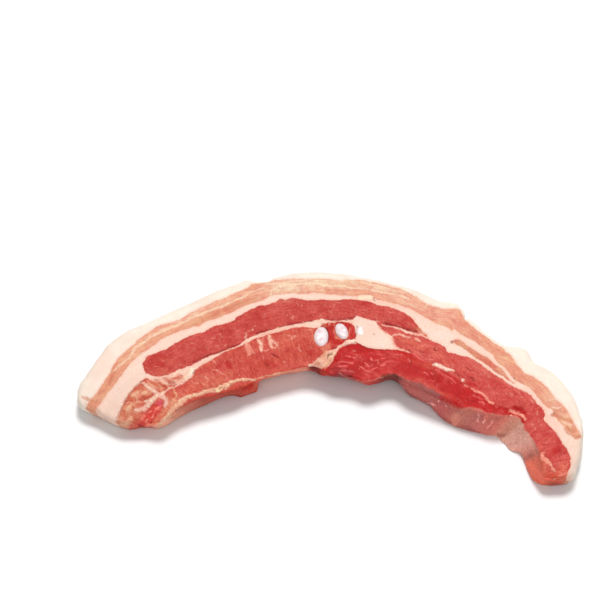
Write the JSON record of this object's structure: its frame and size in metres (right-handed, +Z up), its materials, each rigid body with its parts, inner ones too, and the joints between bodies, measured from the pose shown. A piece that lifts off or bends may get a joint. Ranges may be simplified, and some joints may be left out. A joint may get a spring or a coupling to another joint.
{
  "type": "pork belly slice",
  "caption": "Thick raw pork belly slice lying on its cut face, curved, with pale fat cap, streaks of fat and lean, and rib cartilage ends.",
  "frame": {"origin": "centre of the bounding box's underside, on the surface that the slice lies on", "axes": "+Z up out of the upper cut face, +X along the slice towards its narrow end, +Y towards the fat side"},
  "size_m": [0.2386, 0.1196, 0.0149],
  "materials": {
    "back_fat": "moist creamy white fat",
    "seam_fat": "moist pinkish fat",
    "pale_lean": "moist pale pink lean",
    "red_lean": "moist red lean",
    "deep_lean": "wet deep red lean",
    "cartilage": "glossy bluish white cartilage"
  },
  "bodies": {
    "root": {"fat_cap": "back_fat", "outer_lean": "pale_lean", "middle_fat": "seam_fat", "upper_lean": "red_lean", "inner_fat": "seam_fat", "rib_lean": "red_lean", "intercostal_lean": "deep_lean", "flank_lean": "deep_lean", "inner_lean": "red_lean", "lens_lean": "pale_lean", "cartilage_1": "cartilage", "cartilage_2": "cartilage"}
  },
  "joints": []
}
